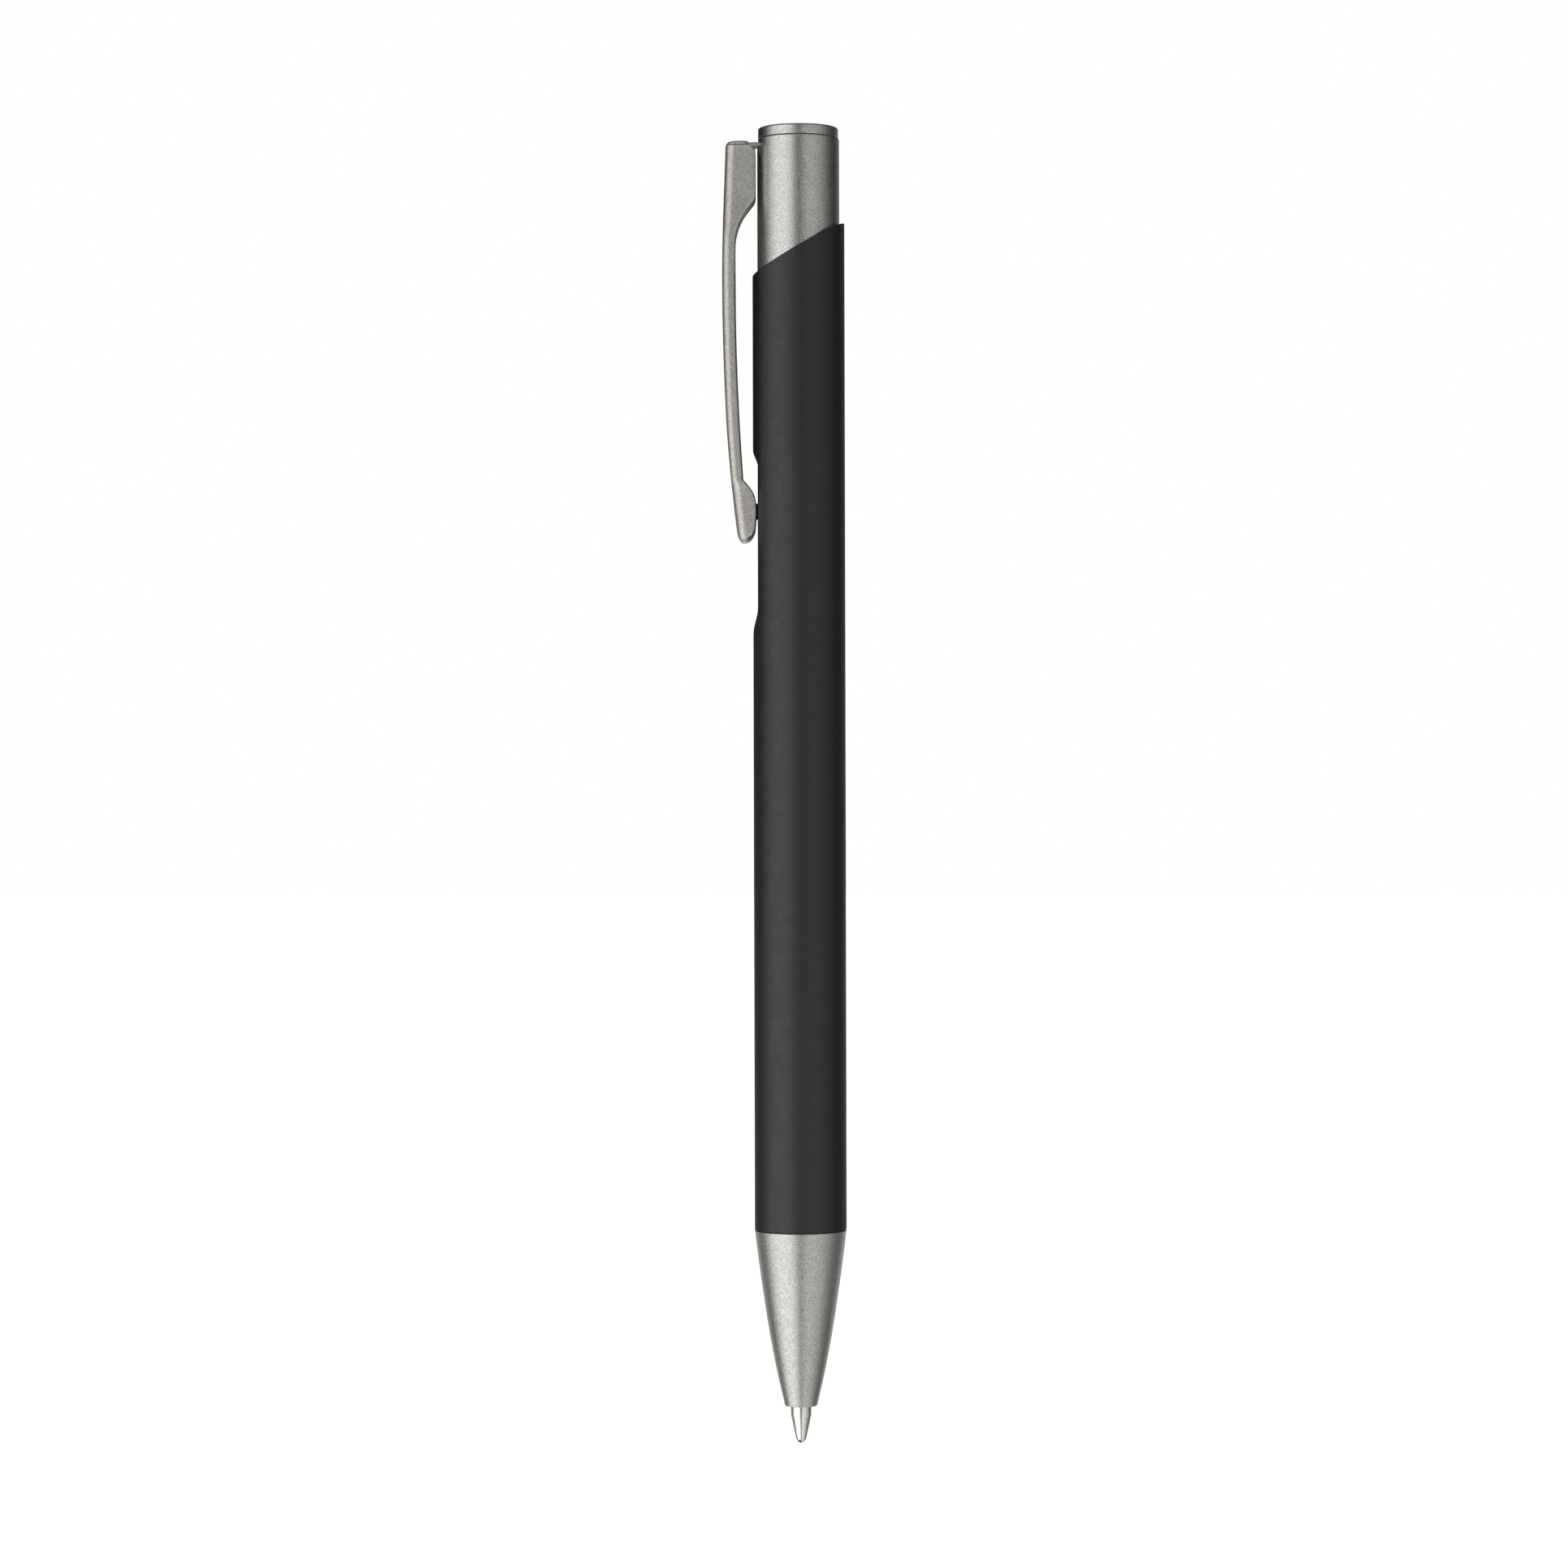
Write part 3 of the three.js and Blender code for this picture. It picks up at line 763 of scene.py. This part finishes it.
def make_clip():
    """A folded sheet: a back with two flanges, whose lower end closes into a ball with a small nub."""
    sections, middles = [], []
    for k in range(1, 12):
        h = CLIP_BALL_FOOT - CLIP_BALL_DROP * math.cos(k / 12 * math.pi / 2)
        share = ball_share(h)
        middle = (clip_back(h) + clip_ball(h)) / 2 + 0.08 * (1 - share)
        back = middle + (clip_back(h) - middle) * share
        rim = middle + (clip_ball(h) - middle) * share
        middles.append((back + rim) / 2)
        sections.append(clip_section(h, back, rim, ball_half(h), 0.0))
    rows = [(h, 0.0) for h in np.arange(CLIP_BALL_FOOT, CLIP_BALL_HEAD + 0.01, 0.2)]
    rows += [(104.7, 0.12), (105.0, 0.35), (105.4, 0.7), (105.8, 0.93), (106.2, 1.0)]
    rows += [(h, 1.0) for h in np.arange(107.2, STEM_HEAD, 1.0)]
    rows += [(h, 1.0) for h in np.arange(STEM_HEAD, 135.2, 0.2)]
    rows += [(h, 1.0) for h in np.arange(135.6, 139.7, 1.0)]
    for k in range(9):
        rows.append((FLANGE_HEAD - FLANGE_CORNER * (1 - math.sin(k / 8 * math.pi / 2)), 1.0))
    for h, open_share in rows:
        sections.append(clip_section(h, clip_back(h), clip_rim(h), CLIP_HALF, open_share))
    pole = [(-middles[0], 0.0, CLIP_BALL_FOOT - CLIP_BALL_DROP)]
    clip = skin("clip_folded", [pole, *sections], loop=False)
    for addition in (make_clip_lid(), make_clip_neck(), make_nub()):
        combine(clip, addition, "UNION")
    for side in (-1, 1):
        combine(clip, make_lid_gap(side), "DIFFERENCE")
        combine(clip, make_groove(side, 0.16, (0.1, 0.3, 0.4, 0.5, 0.5, 0.5)), "DIFFERENCE")
        combine(clip, make_groove(side, 1.1, (0.05, 0.1, 0.14, 0.15, 0.14, 0.1)), "DIFFERENCE")
    return clip


def make_nub():
    """The disc on the ball that slides on the flat of the barrel."""
    rings = []
    for x, r in ((-5.0, 0.9), (-4.62, 0.92), (-4.54, 0.9), (-4.49, 0.84), (-4.476, 0.76)):
        rings.append([(x, r * math.cos(a), NUB_MIDDLE + r * math.sin(a)) for a in full_turn(48)])
    return skin("nub", rings, loop=False)


def make_groove(side, deep, widths):
    """The gap beside a flange's edge, round which the end of the back is curled up; deep is its depth
    below the ball's side, and widths has a width for each point of that edge."""
    edge = [(-4.70, 99.6), (-4.76, 99.28), (-4.9, 98.88), (-5.13, 98.42), (-5.41, 98.02), (-5.7, 97.7)]
    outer = [(x + w * 0.8, h - w * 0.6) for (x, h), w in zip(edge, widths)]
    outline = edge + outer[::-1]
    lowest = 97.75
    floor = [(x, side * (ball_half(max(h, lowest)) - deep), h) for x, h in outline]
    mouth = [(x, side * (CLIP_HALF + 0.2), h) for x, h in outline]
    return skin("groove", [floor, mouth], loop=False)


def make_clip_lid():
    """The strip that folds over the top of the clip: its corners follow the bends of the back."""
    foot, fold, fillet, corner = 140.0, 0.6, 0.15, 0.7
    front, back = 5.45, clip_back(foot)
    quarter = [math.sin(k / 8 * math.pi / 2) for k in range(9)]
    heights = [foot, 140.4, *(LID_TOP - fold + fold * q for q in quarter[:-1])]
    heights = [h for h in heights if h < LID_TOP - fillet]
    heights += [LID_TOP - fillet + fillet * q for q in quarter]
    rings = []
    for h in heights:
        over, edge = max(h - (LID_TOP - fold), 0.0), max(h - (LID_TOP - fillet), 0.0)
        rear = back - 0.03 - fold + math.sqrt(fold**2 - over**2)
        half = CLIP_HALF - 0.03 - fillet + math.sqrt(max(fillet**2 - edge**2, 0.0))
        lean = [CLIP_DRAFT * (x - FLANGE_FACE) for x in (front, back)]
        corners = [
            (-front, lean[0] - half, corner),
            (-rear, lean[1] - half, CLIP_BEND),
            (-rear, half - lean[1], CLIP_BEND),
            (-front, half - lean[0], corner),
        ]
        rings.append([(x, y, h) for x, y in rounded(corners, 8, 0.01)])
    return skin("clip_lid", rings, loop=False)


def make_lid_gap(side):
    """The gap between the folded lid and the top edge of a flange."""
    inner, outer = side * (CLIP_HALF - 0.7), side * (CLIP_HALF + 0.5)
    return box_piece((-7.5, -5.0), (inner, outer), (FLANGE_HEAD + 0.01, LID_FOOT + 0.05))


def make_clip_neck():
    """The neck that enters the tube's slot, and the rib under it."""
    low, high, fillet = LID_FOOT - 0.02, LID_TOP - 0.01, 0.08
    section = rounded(
        [
            (-NECK_HALF, low, fillet),
            (NECK_HALF, low, fillet),
            (NECK_HALF, high, fillet),
            (-NECK_HALF, high, fillet),
        ],
        3,
        0.02,
    )
    rings = [[(x, y, h) for y, h in section] for x in (-6.2, -5.0, -3.4, -1.85)]
    neck = skin("clip_neck", rings, loop=False)
    outline = [
        (-5.4, low + 0.1),
        (-5.0, low - 0.15),
        (-4.75, low - 0.24),
        (-4.5, low - 0.12),
        (-4.4, low + 0.1),
    ]
    rib_half = CLIP_SHEET / 2
    rib = skin("clip_rib", [[(x, y, h) for x, h in outline] for y in (-rib_half, rib_half)], loop=False)
    return combine(neck, rib, "UNION")


# ---- refill and spring --------------------------------------------------------------------------------


def make_point():
    """The turned point: a long cone to the ball's socket, a plain barrel, and a shank for the holder."""
    socket, channel, shank = BALL_R + 0.03, 0.25, 0.9
    outside = [
        (0.5, POINT_FOOT),
        (0.535, POINT_FOOT + 0.03),
        (0.56, 0.5),
        (0.6, 0.62),
        (0.66, 0.9),
        (0.8, 1.52),
        (0.91, 2.02),
        (1.0, 2.45),
        (1.05, 2.66),
        (1.078, 2.8),
        (POINT_R, 2.95),
        (POINT_R, 3.2),
        (POINT_R, 8.85),
        (POINT_R - 0.06, 9.0),
        (shank, 9.0),
        (shank, POINT_HEAD - 0.1),
        (shank - 0.1, POINT_HEAD),
        (channel, POINT_HEAD),
    ]
    first, last = math.acos(channel / socket), math.asin((POINT_FOOT - BALL_R) / socket)
    turns = [first + (last - first) * k / 8 for k in range(9)]
    inside = [(socket * math.cos(a), BALL_R + socket * math.sin(a)) for a in turns]
    return skin("writing_point_turned", [circle(r, h, 96) for r, h in outside + inside], loop=True)


def make_ball():
    rows = 24
    turns = [-math.pi / 2 + math.pi * k / rows for k in range(rows + 1)]
    rings = [circle(BALL_R * math.cos(a), BALL_R * (1 + math.sin(a)), 48) for a in turns]
    return skin("writing_ball_ground", rings, loop=False)


def make_spring():
    """A compression spring with a closed turn at each end."""
    low, high = SPRING_SEAT + 0.05 + SPRING_WIRE_R, COLLAR[0] - 0.05 - SPRING_WIRE_R
    closed, turns, per_turn, around = 1.0, 13.0, 28, 10
    closed_rise = 2 * SPRING_WIRE_R + 0.02
    points = int(turns * per_turn)
    rings = []
    for i in range(points + 1):
        turn = turns * i / points
        if turn < closed:
            h = low + closed_rise * turn
        elif turn > turns - closed:
            h = high - closed_rise * (turns - turn)
        else:
            share = (turn - closed) / (turns - 2 * closed)
            h = low + closed_rise + (high - low - 2 * closed_rise) * share
        a = 2 * math.pi * turn
        ring = []
        for b in full_turn(around):
            r = SPRING_R + SPRING_WIRE_R * math.cos(b)
            ring.append((r * math.cos(a), r * math.sin(a), h + SPRING_WIRE_R * math.sin(b)))
        rings.append(ring)
    return skin("return_spring_coil", rings, loop=False)


def make_holder():
    """The adapter between point and tube, with the collar that the spring pushes on."""
    socket, sleeve, stem, channel = 0.95, 1.25, 1.1, 0.45
    socket_head = POINT_HEAD + 0.05
    return turned(
        "tip_holder_moulded",
        [
            (socket, HOLDER_FOOT, 0.05),
            (sleeve, HOLDER_FOOT, 0.1),
            (sleeve, COLLAR[0], 0.06),
            (COLLAR_R, COLLAR[0], 0.1),
            (COLLAR_R, COLLAR[1], 0.15),
            (stem, COLLAR[1], 0.04),
            (stem, HOLDER_HEAD, 0.15),
            (channel, HOLDER_HEAD, 0.05),
            (channel, socket_head, 0.05),
            (socket, socket_head, 0.05),
        ],
        steps=72,
    )


def make_refill_tube():
    bore = REFILL_R - 0.425
    corners = [
        (bore, REFILL_FOOT, 0.06),
        (REFILL_R, REFILL_FOOT, 0.12),
        (REFILL_R, REFILL_HEAD, 0.08),
        (bore, REFILL_HEAD, 0.06),
    ]
    return turned("refill_tube_extruded", corners, steps=72)


# ---- the pieces ---------------------------------------------------------------------------------------

place(make_barrel(), "barrel", "black_lacquer", BLACK, "barrel")
place(make_thread_bush(), "barrel", "brass", BRASS, "thread_bush")
place(make_nose_cone(), "nose", "silver_lacquer", SILVER, "nose_cone")
place(make_tube(), "plunger", "silver_lacquer", SILVER, "plunger_tube")
place(make_cap(), "plunger", "silver_lacquer", SILVER, "plunger_cap")
place(make_clip(), "clip", "silver_lacquer_steel", CLIP_SILVER, "clip")
place(make_point(), "refill", "nickel_silver", NICKEL, "writing_point")
place(make_ball(), "ball", "carbide", CARBIDE, "writing_ball")
place(make_holder(), "refill", "white_plastic", WHITE_PLASTIC, "tip_holder")
place(make_refill_tube(), "refill", "clear_plastic", CLEAR_PLASTIC, "refill_tube")

spring = make_spring()
spring.data.materials.append(WIRE)
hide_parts("return_spring")
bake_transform(spring)

CAD_MATERIALS = {
    "cam_housing": WHITE_PLASTIC,
    "retaining_ring": WHITE_PLASTIC,
    "cam_pusher": WHITE_PLASTIC,
    "cam_rotor": BLUE_PLASTIC,
    "plunger_plug": BLACK_PLASTIC,
    "ink_column": INK,
}
for node_name, material in CAD_MATERIALS.items():
    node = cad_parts[node_name]
    node.data.materials.clear()
    node.data.materials.append(material)


# ---- stage --------------------------------------------------------------------------------------------


def make_floor():
    """A plain white floor, low enough that the nose cone clears it when it is pulled off."""
    reach, drop = 4.0, 0.045
    mesh = bpy.data.meshes.new("floor")
    z = TIP - drop
    corners = [(-reach, -reach, z), (reach, -reach, z), (reach, reach, z), (-reach, reach, z)]
    mesh.from_pydata(corners, [], [(0, 1, 2, 3)])
    floor = bpy.data.objects.new("floor", mesh)
    scene.collection.objects.link(floor)
    material = bpy.data.materials.new("floor")
    material.use_nodes = True
    shader = material.node_tree.nodes["Principled BSDF"]
    shader.inputs["Base Color"].default_value = grey(0.9)
    shader.inputs["Roughness"].default_value = 0.9
    shader.inputs["Emission Color"].default_value = grey(1.0)
    shader.inputs["Emission Strength"].default_value = 1.0
    mesh.materials.append(material)
    floor.visible_glossy = False
    floor.visible_diffuse = False


LIGHT = 2.0  # strength of the studio; colours end at 1, so a level of 2 is white in them


def light_ring(nodes, turn, levels):
    """Light by direction round the upright axis, from [degrees, level] stops; turn is 0 to 1."""
    ramp = nodes.node("ShaderNodeValToRGB", {"Fac": turn})
    stops = ramp.color_ramp.elements
    while len(stops) < len(levels):
        stops.new(0.5)
    for stop, (degrees, level) in zip(stops, levels):
        stop.position = (degrees + 180) / 360
        stop.color = grey(level / LIGHT)
    return ramp.outputs["Color"]


def make_studio():
    """Soft panels round the pen, as light levels by direction: a large one on the left of the camera, a
    weaker one on its right, and the white backdrop behind, which is nearer and wider low down. The camera
    itself sees plain white."""
    high = [
        (-180, 0.40), (-171, 0.08), (-158, 0.0), (-110, 0.0), (-99, 0.13), (-87, 0.62), (-74, 1.24),
        (-40, 1.50), (-18, 1.12), (-7, 0.05), (6, 0.03), (16, 0.60), (40, 0.67), (68, 0.43),
        (90, 0.14), (108, 0.03), (125, 0.02), (141, 0.12), (160, 0.34), (180, 0.40),
    ]
    low = [
        (-180, 0.95), (-152, 0.65), (-136, 0.32), (-124, 0.18), (-112, 0.17), (-100, 0.42),
        (-88, 0.95), (-74, 1.32), (-40, 1.44), (-15, 1.10), (-7, 0.24), (2, 0.24), (12, 0.79),
        (40, 0.74), (66, 0.55), (84, 0.34), (97, 0.20), (110, 0.13), (121, 0.15), (134, 0.34),
        (152, 0.62), (180, 0.95),
    ]
    scene.world = bpy.data.worlds.new("studio")
    scene.world.use_nodes = True
    nodes = Nodes(scene.world.node_tree)
    nodes.tree.nodes.clear()
    direction = nodes.node("ShaderNodeTexCoord").outputs["Generated"]
    axes = nodes.node("ShaderNodeSeparateXYZ", {"Vector": direction}).outputs
    angle = nodes.maths("ARCTAN2", axes["X"], nodes.maths("MULTIPLY", axes["Y"], -1.0))
    turn = nodes.remap(angle, -math.pi, math.pi)
    below = nodes.remap(axes["Z"], math.sin(math.radians(5)), math.sin(math.radians(-10)))
    upright = nodes.maths("ABSOLUTE", axes["Z"])
    around = nodes.mix(below, light_ring(nodes, turn, high), light_ring(nodes, turn, low))
    around = nodes.mix(nodes.remap(upright, 0.55, 0.95), around, grey(0.34))
    around = nodes.mix(nodes.remap(axes["Z"], 0.28, 0.45), around, grey(0.03))
    around = nodes.mix(nodes.remap(axes["Z"], 0.72, 0.88), around, grey(0.22))
    studio = nodes.node("ShaderNodeBackground", {"Color": around, "Strength": LIGHT})
    white = nodes.node("ShaderNodeBackground", {"Color": grey(1.0), "Strength": 1.0})
    seen = nodes.node("ShaderNodeLightPath").outputs["Is Camera Ray"]
    both = nodes.node("ShaderNodeMixShader", {0: seen, 1: studio.outputs[0], 2: white.outputs[0]})
    nodes.node("ShaderNodeOutputWorld", {"Surface": both.outputs[0]})
    scene.view_settings.view_transform = "Standard"


def make_camera():
    """Level with the middle of the pen, which stands a little to the right of the picture's centre."""
    camera = bpy.data.objects.new("camera", bpy.data.cameras.new("camera"))
    scene.collection.objects.link(camera)
    camera.data.sensor_width = 36.0
    camera.data.lens = 97.1
    camera.data.clip_start, camera.data.clip_end = 0.01, 20
    camera.location = (-0.0017, -0.459, TIP + 0.0715)
    camera.rotation_euler = (math.pi / 2, math.radians(0.14), 0)
    scene.camera = camera


make_floor()
make_studio()
make_camera()
